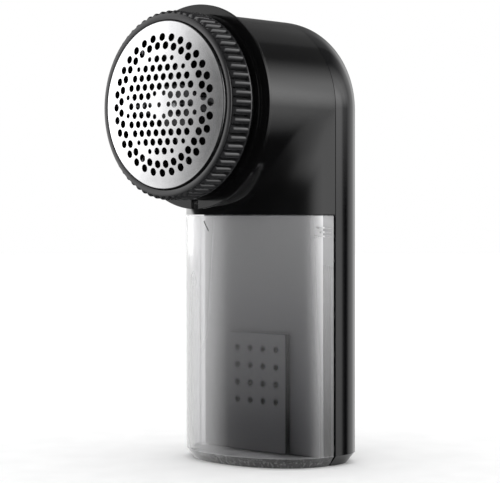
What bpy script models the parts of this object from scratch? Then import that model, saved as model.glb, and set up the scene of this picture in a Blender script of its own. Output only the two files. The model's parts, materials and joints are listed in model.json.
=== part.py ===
"""Hand-held fabric shaver with a round cutting head, a clear lint container and a rechargeable handle.

Frame: metres, +Z up, -Y is the side the cutting head faces, +X its right when it is held facing away.
The origin is the middle of the footprint, on the surface that the shaver stands on.
The turned pieces of the head are placed on the head axis, a line along Y at the height HEAD_Z.
"""

import bmesh
import bpy
from math import acos, cos, hypot, pi, radians, sin, sqrt
from mathutils import Matrix, Vector

MM = 0.001

# Driving dimensions, in millimetres.
HEAD_Z = 116.5            # height of the head axis
BODY_R = 30.2             # radius of the barrel and half of the handle's width
FRONT_Y = -9.8            # front of the handle, below the head
WIDEST_Y = 15.8           # depth at which the handle is widest
BACK_Y = 33.8             # back of the handle
SEAM_Y = 13.0             # joint between the front shell or container and the rear cover
SEAM_Z = 81.9             # joint between the front shell and the lint container
FRONT_POWER = 2.28        # roundness of the front of the handle's oval
BACK_POWER = 2.67         # roundness of its back
NECK_FILLET = 12.0        # softness of the corner between the barrel and the handle
BASE_CHAMFER = 2.6        # inset of the footprint
RIM_Z = 3.4               # height of the chamfer round the base
GAP = 0.3                 # clearance between neighbouring pieces
WALL = 2.0                # wall of the handle's shells
CLEAR_WALL = 1.8          # wall of the lint container

RING_R = 30.0             # over the ribs of the twist ring
RIB_COUNT = 64
RING_FRONT_Y = -34.8
RING_BACK_Y = -25.8
FOIL_R = 26.6
FOIL_FRONT_Y = -37.0      # middle of the domed face
FOIL_DOME = 2.15          # how far the middle of the foil stands proud of its edge
FOIL_SHEET = 0.4
FOIL_STEPS = 44
HOLE_RINGS = ((21.4, 0.0), (18.75, 0.5))   # (radius, turn in pitches) of the two outer rings of holes
HOLES_PER_RING = 32
RING_HOLE_R = 1.3
HOLE_PITCH = 3.36         # between the holes of the inner lattice
HOLE_R = 1.18
SMALL_HOLE_R = 0.84
FLANGE_R = 32.8
FLANGE_FRONT_Y = -21.2
FLANGE_BACK_Y = -20.0
HOUSING_FRONT_Y = -19.7

FAN_FRONT_Y = -17.4
MOTOR_FRONT_Y = -5.7
MOTOR_LENGTH = 25.0
MOTOR_R = 10.2
SHAFT_R = 1.0
CHASSIS_Y = 10.4          # front of the plate that closes the handle behind the container
CHASSIS_PLATE = 2.2
PANEL_Y = 8.0             # front of the raised vent panel
VENT_PITCH = 5.8
SWITCH_Z = 98.0           # middle of the power slider, switched off
SWITCH_TRAVEL = 4.0
SLIDER_BACK_Y = 37.0      # top of the slider's grip ribs
LAMP_Z = 114.0
SOCKET_Y = 23.0
SCREW_PLACES = ((-16.0, 14.0), (16.0, 14.0), (-16.0, 90.0), (16.0, 90.0))


# ---------------------------------------------------------------- materials

def material(name, colour, roughness, metallic=0.0, alpha=1.0):
    made = bpy.data.materials.new(name)
    made.use_nodes = True
    shader = made.node_tree.nodes["Principled BSDF"]
    shader.inputs["Base Color"].default_value = (*colour, 1.0)
    shader.inputs["Roughness"].default_value = roughness
    shader.inputs["Metallic"].default_value = metallic
    shader.inputs["Alpha"].default_value = alpha
    made.diffuse_color = (*colour, alpha)
    return made


# ---------------------------------------------------------------- mesh helpers

def finish(name, mesh, made, sharp=35.0):
    """Puts the bmesh, in millimetres, into a smooth-shaded object of that name."""
    bmesh.ops.remove_doubles(mesh, verts=mesh.verts, dist=1e-4)
    bmesh.ops.recalc_face_normals(mesh, faces=mesh.faces)
    bmesh.ops.scale(mesh, vec=(MM, MM, MM), verts=mesh.verts)
    data = bpy.data.meshes.new(name)
    mesh.to_mesh(data)
    mesh.free()
    data.shade_smooth()
    data.set_sharp_from_angle(angle=radians(sharp))
    data.materials.append(made)
    obj = bpy.data.objects.new(name, data)
    bpy.context.scene.collection.objects.link(obj)
    return obj


def place(obj, x=0.0, y=0.0, z=0.0):
    obj.location = Vector((x, y, z)) * MM
    return obj


def spun(mesh, profile, steps, axis="Y", centre=(0.0, 0.0, 0.0)):
    """Adds the closed profile of (radius, distance along the axis) points, turned round the axis."""
    rows = []
    for step in range(steps):
        turn = 2 * pi * step / steps
        row = []
        for radius, along in profile:
            a, b = radius * cos(turn), radius * sin(turn)
            point = {"X": (along, a, b), "Y": (a, along, b), "Z": (a, b, along)}[axis]
            row.append(mesh.verts.new(Vector(point) + Vector(centre)))
        rows.append(row)
    for i, row in enumerate(rows):
        following = rows[(i + 1) % steps]
        for j in range(len(profile)):
            k = (j + 1) % len(profile)
            on_axis = profile[j][0] == 0 and profile[k][0] == 0
            if not on_axis:
                mesh.faces.new((row[j], row[k], following[k], following[j]))
    return mesh


def turned(name, profile, made, steps=32, axis="Y"):
    return finish(name, spun(bmesh.new(), profile, steps, axis), made)


def boxed(mesh, low, high):
    """Adds the box from its low corner to its high corner."""
    size = Vector(high) - Vector(low)
    middle = (Vector(high) + Vector(low)) / 2
    matrix = Matrix.Translation(middle) @ Matrix.Diagonal((*size, 1.0))
    bmesh.ops.create_cube(mesh, size=1.0, matrix=matrix)
    return mesh


def box(name, low, high, made, bevel=0.0):
    mesh = boxed(bmesh.new(), low, high)
    if bevel:
        bmesh.ops.bevel(mesh, geom=mesh.edges[:], offset=bevel, segments=2, affect="EDGES", profile=0.5)
    return finish(name, mesh, made)


def prism(mesh, outline, low, high, axis="Y"):
    """Adds the outline, extruded from low to high along the axis."""
    def at(a, b, along):
        return {"X": (along, a, b), "Y": (a, along, b), "Z": (a, b, along)}[axis]
    near = [mesh.verts.new(at(a, b, low)) for a, b in outline]
    far = [mesh.verts.new(at(a, b, high)) for a, b in outline]
    mesh.faces.new(near)
    mesh.faces.new(far[::-1])
    for i in range(len(outline)):
        j = (i + 1) % len(outline)
        mesh.faces.new((near[i], far[i], far[j], near[j]))
    return mesh


def circle(radius, steps, centre=(0.0, 0.0), start=0.0):
    turns = [start + 2 * pi * i / steps for i in range(steps)]
    return [(centre[0] + radius * cos(t), centre[1] + radius * sin(t)) for t in turns]


def rounded_rectangle(half_a, half_b, radius, centre=(0.0, 0.0), steps=4):
    """Outline of a rectangle with round corners, walked once round."""
    points = []
    for quarter, (sign_a, sign_b) in enumerate(((1, 1), (-1, 1), (-1, -1), (1, -1))):
        for step in range(steps + 1):
            turn = pi / 2 * (quarter + step / steps)
            a = sign_a * (half_a - radius) + radius * cos(turn)
            b = sign_b * (half_b - radius) + radius * sin(turn)
            points.append((centre[0] + a, centre[1] + b))
    return points


def tool(name, mesh):
    """A helper solid for a Boolean, which isn't part of the shaver."""
    obj = finish(name, mesh, bpy.data.materials["helper"])
    obj.hide_render = True
    obj.display_type = "WIRE"
    return obj


def boolean(obj, other, operation="DIFFERENCE"):
    """Cuts the helper from the object or joins it on, wherever the object is placed."""
    other.location = obj.location
    step = obj.modifiers.new(other.name, "BOOLEAN")
    step.operation = operation
    step.solver = "EXACT"
    step.object = other
    return obj


# ---------------------------------------------------------------- the handle's form

def half_width(y, inset=0.0):
    """Half of the handle's width at the depth y, for an outline moved in by inset."""
    reach = WIDEST_Y - FRONT_Y if y < WIDEST_Y else BACK_Y - WIDEST_Y
    power = FRONT_POWER if y < WIDEST_Y else BACK_POWER
    part = min(abs(y - WIDEST_Y) / (reach - inset), 1.0)
    return (BODY_R - inset) * (1 - part**power) ** (1 / power)


def oval_point(turn, inset=0.0):
    """(half width, depth) on the oval: turn is -90 degrees at its front and 90 degrees at its back."""
    reach = WIDEST_Y - FRONT_Y if turn < 0 else BACK_Y - WIDEST_Y
    power = FRONT_POWER if turn < 0 else BACK_POWER
    across = (BODY_R - inset) * abs(cos(turn)) ** (2 / power)
    along = (reach - inset) * abs(sin(turn)) ** (2 / power)
    return across, WIDEST_Y + (along if turn > 0 else -along)


def oval_turn(y, inset=0.0):
    """The turn at which the front of the oval reaches the depth y."""
    part = (WIDEST_Y - y) / (WIDEST_Y - FRONT_Y - inset)
    return -acos((1 - part**FRONT_POWER) ** 0.5) if part < 1 else -pi / 2


def body_gap(x, y, z, inset=0.0):
    """Signed gap to the barrel and the handle's oval column together, with a fillet where they cross."""
    radius = hypot(x, z - HEAD_Z)
    barrel = radius - (BODY_R - inset)
    reach = (WIDEST_Y - FRONT_Y if y < WIDEST_Y else BACK_Y - WIDEST_Y) - inset
    power = FRONT_POWER if y < WIDEST_Y else BACK_POWER
    arched = hypot(x, max(z - HEAD_Z, 0.0))
    across, along = arched / (BODY_R - inset), abs(y - WIDEST_Y) / reach
    size = (across**power + along**power) ** (1 / power)
    column = hypot(arched, y - WIDEST_Y) * (1 - 1 / max(size, 1e-6))
    slope = Vector((across ** (power - 1) / BODY_R, along ** (power - 1) / reach)).normalized()
    facing = slope.x * arched / max(radius, 1e-6)
    fillet = NECK_FILLET * (1 - facing * facing) + 1e-6
    near = max(fillet - abs(barrel - column), 0.0) / fillet
    return min(barrel, column) - near * near * fillet / 4


def elbow_point(bend, turn, inset=0.0):
    """Point of the front shell on the half-plane that leans back by bend from the elbow's pivot line."""
    pivot = Vector((0.0, HOUSING_FRONT_Y, SEAM_Z))
    lean = Vector((0.0, sin(bend), cos(bend)))
    first, last = HEAD_Z - SEAM_Z, WIDEST_Y - HOUSING_FRONT_Y
    middle = pivot + lean * (first + (last - first) * bend / (pi / 2))
    way = Vector((1.0, 0.0, 0.0)) * cos(turn) + lean * sin(turn)
    past_seam = SEAM_Y + 7.0
    inside, outside = 0.0, 120.0
    for _ in range(30):
        reach = (inside + outside) / 2
        spot = middle + way * reach
        if max(body_gap(*spot, inset), spot.y - past_seam) > 0:
            outside = reach
        else:
            inside = reach
    return middle + way * inside


def elbow(inset=0.0, overrun=0.0, bend_steps=18, turn_steps=40):
    """Closed elbow from the round barrel to the handle's oval, with both of its ends run on straight."""
    mesh = bmesh.new()
    rows = []
    for i in range(bend_steps + 1):
        bend = pi / 2 * i / bend_steps
        rows.append([elbow_point(bend, 2 * pi * j / turn_steps, inset) for j in range(turn_steps)])
    if overrun:
        rows.insert(0, [point - Vector((0.0, overrun, 0.0)) for point in rows[0]])
        rows.append([point - Vector((0.0, 0.0, overrun)) for point in rows[-1]])
    grid = [[mesh.verts.new(point) for point in row] for row in rows]
    for near, far in zip(grid, grid[1:]):
        for j in range(turn_steps):
            k = (j + 1) % turn_steps
            mesh.faces.new((near[j], far[j], far[k], near[k]))
    mesh.faces.new(grid[0])
    mesh.faces.new(grid[-1])
    return mesh


# ---------------------------------------------------------------- outer pieces

def make_front_housing(made):
    """Upper shell: the barrel and its elbow, open at the head, at the rear seam and above the container."""
    housing = finish("front_housing", elbow(), made)
    beyond = boxed(bmesh.new(), (-50.0, SEAM_Y, 40.0), (50.0, 60.0, 170.0))
    boolean(housing, tool("cut_rear_seam", beyond))
    return boolean(housing, tool("cut_housing_hollow", elbow(WALL, 3.0)))


def rear_profile(inset, steps=9):
    """(half width, depth) points of the rear cover's plan, from the seam to the middle of its back."""
    points = [(half_width(SEAM_Y + GAP, inset), SEAM_Y + GAP)]
    points += [oval_point(pi / 2 * i / steps + 1e-6, inset) for i in range(steps)]
    points.append((0.0, BACK_Y - inset))
    return points


def arch_path(profile, floor, foot_profile, arch_steps=16):
    """For each profile point, its way up the right side, over the arch and down the left side."""
    columns = []
    for (across, y), (foot_across, foot_y) in zip(profile, foot_profile):
        right = [(foot_across, foot_y, floor), (across, y, max(RIM_Z, floor))]
        arch = []
        for i in range(arch_steps + 1):
            turn = pi * i / arch_steps
            arch.append((across * cos(turn), y, HEAD_Z + across * sin(turn)))
        left = [(-across, y, max(RIM_Z, floor)), (-foot_across, foot_y, floor)]
        columns.append(right + arch + left)
    return columns


def make_rear_cover(made):
    """Full-height back shell, with its four screw posts and its openings for the slider, lamp and socket."""
    mesh = bmesh.new()
    outer_plan, inner_plan = rear_profile(0.0), rear_profile(WALL)
    chamfered = rear_profile(BASE_CHAMFER)
    skins = []
    inner_foot = rear_profile(WALL + 1.0)
    for plan, foot, floor in ((outer_plan, chamfered, 0.0), (inner_plan, inner_foot, WALL)):
        skins.append([[mesh.verts.new(p) for p in column] for column in arch_path(plan, floor, foot)])
    for columns in skins:
        for near, far in zip(columns, columns[1:]):
            for i in range(len(near) - 1):
                mesh.faces.new((near[i], near[i + 1], far[i + 1], far[i]))
        right = [column[0] for column in columns]
        left = [column[-1] for column in columns[:-1]]
        mesh.faces.new(right + left[::-1])
    outer, inner = skins[0][0], skins[1][0]
    for i in range(len(outer)):
        j = (i + 1) % len(outer)
        mesh.faces.new((outer[i], outer[j], inner[j], inner[i]))
    cover = finish("rear_cover", mesh, made)

    posts = bmesh.new()
    for x, z in SCREW_PLACES:
        spun(posts, [(0, 20.0), (3.9, 20.0), (3.9, 32.2), (0, 32.2)], 12, "Y", (x, 0, z))
    boolean(cover, tool("join_posts", posts), "UNION")

    holes = bmesh.new()
    bore = [(0, 15.0), (1.5, 15.0), (1.5, 27.0), (2.7, 27.0), (2.7, 40.0), (0, 40.0)]
    for x, z in SCREW_PLACES:
        spun(holes, bore, 12, "Y", (x, 0, z))
    pocket = rounded_rectangle(6.0, 7.3 + SWITCH_TRAVEL / 2, 2.5, (0.0, SWITCH_Z + SWITCH_TRAVEL / 2))
    prism(holes, pocket, 32.6, 40.0)
    prism(holes, circle(1.5, 12, (0.0, LAMP_Z)), 28.0, 40.0)
    prism(holes, rounded_rectangle(4.9, 2.0, 1.4, (0.0, SOCKET_Y)), -5.0, 4.0, "Z")
    boolean(cover, tool("cut_cover", holes))
    slot = rounded_rectangle(1.9, 5.4, 0.6, (0.0, SWITCH_Z + SWITCH_TRAVEL / 2), 2)
    boolean(cover, tool("cut_slider_slot", prism(bmesh.new(), slot, 28.0, 36.0)))
    return cover


def container_plan(inset, side_inset, steps=14):
    """Plan of the container from its right rear edge round the front to its left rear edge."""
    rail_end = 8.0
    right = [(half_width(y, inset + side_inset), y) for y in (SEAM_Y - GAP, rail_end)]
    start = oval_turn(rail_end - 0.05, inset)
    for i in range(steps + 1):
        right.append(oval_point(start + (-pi / 2 - start) * i / steps, inset))
    right[-1] = (0.0, FRONT_Y + inset)
    return right + [(-x, y) for x, y in right[-2::-1]]


def make_lint_container(made):
    """Clear bucket, open at its back and top, with a chamfered foot and a snap tab on each rear edge."""
    top = SEAM_Z - GAP
    rows = (
        (container_plan(BASE_CHAMFER, 0.0), 0.0),
        (container_plan(0.0, 0.35), RIM_Z),
        (container_plan(0.0, 0.35), top),
        (container_plan(CLEAR_WALL, 0.35), top),
        (container_plan(CLEAR_WALL, 0.35), 2.2),
    )
    mesh = bmesh.new()
    grid = [[mesh.verts.new((x, y, z)) for x, y in plan] for plan, z in rows]
    for low, high in zip(grid, grid[1:]):
        for i in range(len(low) - 1):
            mesh.faces.new((low[i], low[i + 1], high[i + 1], high[i]))
    for end in (0, -1):
        mesh.faces.new([row[end] for row in grid])
    mesh.faces.new(grid[0])
    mesh.faces.new(grid[-1][::-1])
    mesh.faces.new((grid[0][0], grid[0][-1], grid[-1][-1], grid[-1][0]))
    container = finish("lint_container", mesh, made)
    tabs = bmesh.new()
    for side in (-1, 1):
        inner, outer = side * 28.6, side * 29.8
        boxed(tabs, (min(inner, outer), 9.2, 74.6), (max(inner, outer), 11.6, 77.9))
    return boolean(container, tool("join_snap_tabs", tabs), "UNION")


# ---------------------------------------------------------------- the cutting head

def foil_holes():
    """(x, z, radius) of the foil's holes: two outer rings, an inner lattice and a few small holes."""
    holes = []
    for radius, offset in HOLE_RINGS:
        for i in range(HOLES_PER_RING):
            turn = 2 * pi * (i + offset) / HOLES_PER_RING
            holes.append((radius * cos(turn), radius * sin(turn), RING_HOLE_R))
    for row in range(-5, 6):
        for column in range(-6, 7):
            steps = column * column + column * row + row * row
            x, z = HOLE_PITCH * (column + row / 2), HOLE_PITCH * row * sqrt(0.75)
            if 3 <= steps <= 19:
                holes.append((x, z, HOLE_R))
            elif steps in (0, 21):
                holes.append((x, z, SMALL_HOLE_R))
    for i in range(6):
        turn, out = pi / 3 * i, 1.25 * HOLE_PITCH
        holes.append((out * cos(turn), out * sin(turn), SMALL_HOLE_R))
    return holes


def make_foil(made):
    """Thin steel cup with a domed face over the blades. The twist ring clamps its rim."""
    edge, face_steps = 0.4, 4
    face_r, inner = FOIL_R - edge, FOIL_R - FOIL_SHEET
    face = [(face_r * i / face_steps, FOIL_DOME * (i / face_steps) ** 2) for i in range(face_steps + 1)]
    profile = [(r, FOIL_FRONT_Y + sag) for r, sag in face]
    profile += [(FOIL_R, FOIL_FRONT_Y + FOIL_DOME + edge), (FOIL_R, -28.2), (27.2, -28.2)]
    profile += [(27.2, -27.7), (inner, -27.7), (inner, FOIL_FRONT_Y + FOIL_DOME + edge + 0.3)]
    profile += [(min(r, inner - 0.6), FOIL_FRONT_Y + FOIL_SHEET + sag) for r, sag in face[::-1]]
    foil = place(turned("foil", profile, made, FOIL_STEPS), z=HEAD_Z)
    punches = bmesh.new()
    for x, z, radius in foil_holes():
        middle = FOIL_FRONT_Y + FOIL_DOME * (hypot(x, z) / face_r) ** 2
        prism(punches, circle(radius, 6, (x, z), pi / 6), middle - 1, middle + 1)
    return boolean(foil, tool("cut_foil_holes", punches))


def make_foil_ring(made):
    """Ribbed twist ring: a slightly coned front face, a groove, the ribs and a plain rear rim."""
    root = 28.4
    rows = []
    for radius, y, tip in (
        (26.9, RING_FRONT_Y, 26.9), (28.8, -34.2, 28.8), (28.8, -33.85, 28.8),
        (root, -33.7, 29.1), (root, -32.9, RING_R), (root, -26.5, RING_R), (RING_R, -26.4, RING_R),
        (RING_R, RING_BACK_Y, RING_R), (27.6, RING_BACK_Y, 27.6), (27.6, -28.5, 27.6), (26.9, -28.5, 26.9),
    ):
        row = []
        for i in range(2 * RIB_COUNT):
            ribbed = tip != radius
            turn = pi * (i if ribbed else i - i % 2) / RIB_COUNT
            r = tip if i % 2 else radius
            row.append((r * cos(turn), y, r * sin(turn)))
        rows.append(row)
    mesh = bmesh.new()
    grid = [[mesh.verts.new(p) for p in row] for row in rows]
    count = 2 * RIB_COUNT
    for near, far in zip(grid, grid[1:] + grid[:1]):
        for i in range(count):
            j = (i + 1) % count
            mesh.faces.new((near[i], near[j], far[j], far[i]))
    return place(finish("foil_ring", mesh, made), z=HEAD_Z)


def make_head_flange(made):
    """Fixed collar that the ring turns on, with the index notch at its lowest point."""
    profile = [
        (24.5, -27.3), (27.3, -27.3), (27.3, -22.6), (29.6, -22.6), (29.6, FLANGE_FRONT_Y),
        (FLANGE_R, FLANGE_FRONT_Y), (FLANGE_R, FLANGE_BACK_Y), (24.5, FLANGE_BACK_Y),
    ]
    flange = place(turned("head_flange", profile, made, 44), z=HEAD_Z)
    notch = boxed(bmesh.new(), (-1.5, -24.0, -34.0), (1.5, -18.0, -29.9))
    return boolean(flange, tool("cut_index_notch", notch))


def make_cutter(steel, plastic):
    """Six upright steel blades on a spider, and the hub that carries them."""
    spider = bmesh.new()
    outline = []
    for arm in range(6):
        turn = pi / 3 * arm
        for reach, swing in ((7.0, -0.3), (23.0, -0.09), (23.0, 0.09), (7.0, 0.3)):
            outline.append((reach * cos(turn + swing), reach * sin(turn + swing)))
    prism(spider, outline, -29.5, -28.9)
    blades = place(finish("cutter_blades", spider, steel), z=HEAD_Z)
    strips = bmesh.new()
    for arm in range(6):
        blade = bmesh.new()
        side = [(7.5, -29.2), (22.6, -29.2), (22.6, -34.4), (15.0, -35.4), (7.5, -36.0)]
        prism(blade, side, -0.3, 0.3, "Z")
        turn = Matrix.Rotation(pi / 3 * arm, 3, "Y")
        bmesh.ops.rotate(blade, cent=(0, 0, 0), matrix=turn, verts=blade.verts)
        data = bpy.data.meshes.new("blade")
        blade.to_mesh(data)
        blade.free()
        strips.from_mesh(data)
        bpy.data.meshes.remove(data)
    boolean(blades, tool("join_strips", strips), "UNION")
    boolean(blades, tool("cut_blade_bore", prism(bmesh.new(), circle(2.9, 16), -31.0, -27.0)))
    hub_profile = [
        (1.3, -31.0), (2.5, -31.0), (2.5, -28.7), (8.5, -28.6), (8.5, -27.2), (4.6, -27.0),
        (4.6, -23.0), (1.3, -23.0),
    ]
    place(turned("cutter_hub", hub_profile, plastic, 16), z=HEAD_Z)


def make_cutter_spring(made):
    """Compression spring round the shaft that keeps the blades against the foil."""
    turns, per_turn, wire = 3.5, 10, 0.35
    first, last = -22.7 + wire, -17.7 - wire
    count = int(turns * per_turn) + 1
    curve = bpy.data.curves.new("cutter_spring", "CURVE")
    curve.dimensions = "3D"
    curve.bevel_depth = wire * MM
    curve.bevel_resolution = 1
    curve.use_fill_caps = True
    line = curve.splines.new("POLY")
    line.points.add(count - 1)
    for i, point in enumerate(line.points):
        turn = 2 * pi * i / per_turn
        y = first + (last - first) * i / (count - 1)
        point.co = (3.4 * cos(turn) * MM, y * MM, 3.4 * sin(turn) * MM, 1.0)
    curve.materials.append(made)
    spring = bpy.data.objects.new("cutter_spring", curve)
    bpy.context.scene.collection.objects.link(spring)
    place(spring, z=HEAD_Z)


def make_lint_fan(made):
    """Impeller behind the blades: a disc with curved vanes that throws the lint towards the duct."""
    profile = [
        (1.3, FAN_FRONT_Y), (4.2, FAN_FRONT_Y), (5.0, -11.2), (20.5, -10.8), (20.5, -9.6), (1.3, -9.6),
    ]
    fan = place(turned("lint_fan", profile, made, 24), z=HEAD_Z)
    vanes = bmesh.new()
    for vane in range(6):
        ahead, behind = [], []
        for i in range(4):
            radius = 4.0 + 16.0 * i / 3
            turn = pi / 3 * vane + 0.5 * (i / 3) ** 2
            half = 0.6 / radius
            ahead.append((radius * cos(turn + half), radius * sin(turn + half)))
            behind.append((radius * cos(turn - half), radius * sin(turn - half)))
        prism(vanes, ahead + behind[::-1], -15.6, -10.2)
    return boolean(fan, tool("join_vanes", vanes), "UNION")


def make_lint_chute(made):
    """Round chamber for the fan, with a duct from the low part of its back wall down to the container."""
    profile = [
        (24.2, HOUSING_FRONT_Y), (25.7, HOUSING_FRONT_Y), (25.7, -6.0), (3.8, -6.0), (3.8, -7.5),
        (24.2, -7.5),
    ]
    chute = place(turned("lint_chute", profile, made, 36), z=HEAD_Z)
    floor = SEAM_Z - HEAD_Z + 0.3
    side = [(-6.7, -11.2), (-6.7, -24.4), (-4.9, -26.4), (-4.9, floor), (9.9, floor), (9.9, -11.2)]
    boolean(chute, tool("join_duct", prism(bmesh.new(), side, -12.2, 12.2, "X")), "UNION")
    hollow = [
        (-9.0, -12.6), (-9.0, -23.6), (-5.2, -23.6), (-3.5, -25.8), (-3.5, floor - 3), (8.5, floor - 3),
        (8.5, -12.6),
    ]
    boolean(chute, tool("cut_duct", prism(bmesh.new(), hollow, -10.8, 10.8, "X")))
    screws = bmesh.new()
    for x in (-8.0, 8.0):
        spun(screws, [(0, -10), (1.3, -10), (1.3, -3), (0, -3)], 12, "Y", (x, 0, 0))
    return boolean(chute, tool("cut_motor_screws", screws))


# ---------------------------------------------------------------- motor

def make_motor(steel, plastic, brass, magnet, copper):
    """Small brushed motor: can, bush, magnets, armature, commutator, end cap and its two terminals."""
    front = MOTOR_FRONT_Y
    back = front + MOTOR_LENGTH - 5.0
    can_profile = [
        (2.4, front), (MOTOR_R, front), (MOTOR_R, back), (MOTOR_R - 0.7, back), (MOTOR_R - 0.7, front + 0.8),
        (2.4, front + 0.8),
    ]
    can = place(turned("motor_can", can_profile, steel, 24), z=HEAD_Z)
    taps = bmesh.new()
    for x in (-8.0, 8.0):
        spun(taps, [(0, front - 1), (1.3, front - 1), (1.3, front + 2), (0, front + 2)], 12, "Y", (x, 0, 0))
    boolean(can, tool("cut_motor_taps", taps))
    bush = [(1.3, front - 1.4), (2.1, front - 1.4), (2.1, front + 3.0), (1.3, front + 3.0)]
    place(turned("motor_bush", bush, brass, 20), z=HEAD_Z)
    shaft = [(0, -30.6), (SHAFT_R, -30.6), (SHAFT_R, back + 2.6), (0, back + 2.6)]
    place(turned("motor_shaft", shaft, steel, 16), z=HEAD_Z)
    core = []
    for i in range(3):
        middle = 2 * pi * i / 3
        for radius, swing in ((3.4, -0.62), (6.9, -0.72), (6.9, -0.3), (6.9, 0.3), (6.9, 0.72), (3.4, 0.62)):
            core.append((radius * cos(middle + swing), radius * sin(middle + swing)))
    armature = place(finish("motor_armature", prism(bmesh.new(), core, 0.4, 9.4), copper), z=HEAD_Z)
    boolean(armature, tool("cut_armature_bore", prism(bmesh.new(), circle(1.3, 12), -1.0, 11.0)))
    commutator = [(1.3, 10.0), (2.3, 10.0), (2.3, 14.0), (1.3, 14.0)]
    place(turned("motor_commutator", commutator, copper, 16), z=HEAD_Z)
    for name, middle in (("magnet_right", 0.0), ("magnet_left", pi)):
        turns = [middle + radians(-55 + 110 * i / 8) for i in range(9)]
        arc = [(9.2 * cos(t), 9.2 * sin(t)) for t in turns]
        arc += [(7.4 * cos(t), 7.4 * sin(t)) for t in turns[::-1]]
        place(finish("motor_" + name, prism(bmesh.new(), arc, -1.6, 11.4), magnet), z=HEAD_Z)
    cap = [
        (1.3, back + 0.3), (MOTOR_R - 0.2, back + 0.3), (MOTOR_R - 0.2, back + 2.2), (4.0, back + 2.2),
        (4.0, back + 3.8), (1.3, back + 3.8),
    ]
    end_cap = place(turned("motor_end_cap", cap, plastic, 24), z=HEAD_Z)
    slits = bmesh.new()
    for x in (-6.5, 6.5):
        boxed(slits, (x - 1.7, back - 1, -0.65), (x + 1.7, back + 5, 0.65))
    boolean(end_cap, tool("cut_terminal_slits", slits))
    for name, x in (("left", -6.5), ("right", 6.5)):
        low, high = (x - 1.3, back - 0.9, -0.3), (x + 1.3, back + 5.6, 0.3)
        place(box("motor_terminal_" + name, low, high, brass), z=HEAD_Z)
    for name, x in (("left", -8.0), ("right", 8.0)):
        profile = [(0, -9.0), (1.7, -9.0), (1.7, -7.8), (0.95, -7.8), (0.95, front + 1.6), (0, front + 1.6)]
        place(turned("motor_screw_" + name, profile, steel, 12), x=x, z=HEAD_Z)


# ---------------------------------------------------------------- inside the handle

def make_chassis(made):
    """Plate that closes the handle behind the container, carries the motor and takes the cover screws."""
    half = 27.2
    outline = [(half, 2.8), (half, HEAD_Z)]
    outline += [(half * cos(pi * i / 16), HEAD_Z + half * sin(pi * i / 16)) for i in range(1, 16)]
    outline += [(-half, HEAD_Z), (-half, 2.8)]
    back = CHASSIS_Y + CHASSIS_PLATE
    chassis = finish("chassis", prism(bmesh.new(), outline, CHASSIS_Y, back), made)
    bosses = bmesh.new()
    for x, z in SCREW_PLACES:
        prism(bosses, circle(3.2, 12, (x, z)), back - 0.8, 19.7)
    boolean(chassis, tool("join_bosses", bosses), "UNION")
    holes = bmesh.new()
    for x, z in SCREW_PLACES:
        prism(holes, circle(1.35, 8, (x, z)), 13.4, 25.0)
    prism(holes, circle(MOTOR_R + 0.5, 24, (0.0, HEAD_Z)), 5.0, 20.0)
    prism(holes, rounded_rectangle(11.0, 11.5, 1.5, (0.0, 28.5)), 5.0, 20.0)
    return boolean(chassis, tool("cut_chassis", holes))


def make_vent_panel(made):
    """Raised grille on the chassis that lets the fan's air out of the container: four rows of four holes."""
    outline = rounded_rectangle(13.1, 19.2, 0.8, (0.0, 23.4), 2)
    panel = finish("vent_panel", prism(bmesh.new(), outline, PANEL_Y, CHASSIS_Y - GAP), made)
    holes = bmesh.new()
    for row in range(4):
        for column in range(4):
            middle = (VENT_PITCH * (column - 1.5), 28.5 + VENT_PITCH * (row - 1.5))
            prism(holes, circle(0.8, 6, middle), 5.0, 12.0)
    return boolean(panel, tool("cut_vent_holes", holes))


def make_battery(wrap, nickel):
    """One round lithium cell, upright behind the chassis, and the two welded tabs at its ends."""
    middle = (0.0, 22.6)
    cell = [(0, 11.0), (8.5, 11.0), (8.9, 11.4), (8.9, 75.6), (8.5, 76.0), (0, 76.0)]
    place(turned("battery_cell", cell, wrap, 24, "Z"), y=middle[1])
    box("battery_tab_minus", (-3.0, 18.0, 10.2), (3.0, 27.0, 10.7), nickel)
    box("battery_tab_plus", (-3.0, 18.0, 76.3), (3.0, 27.0, 76.8), nickel)


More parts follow.
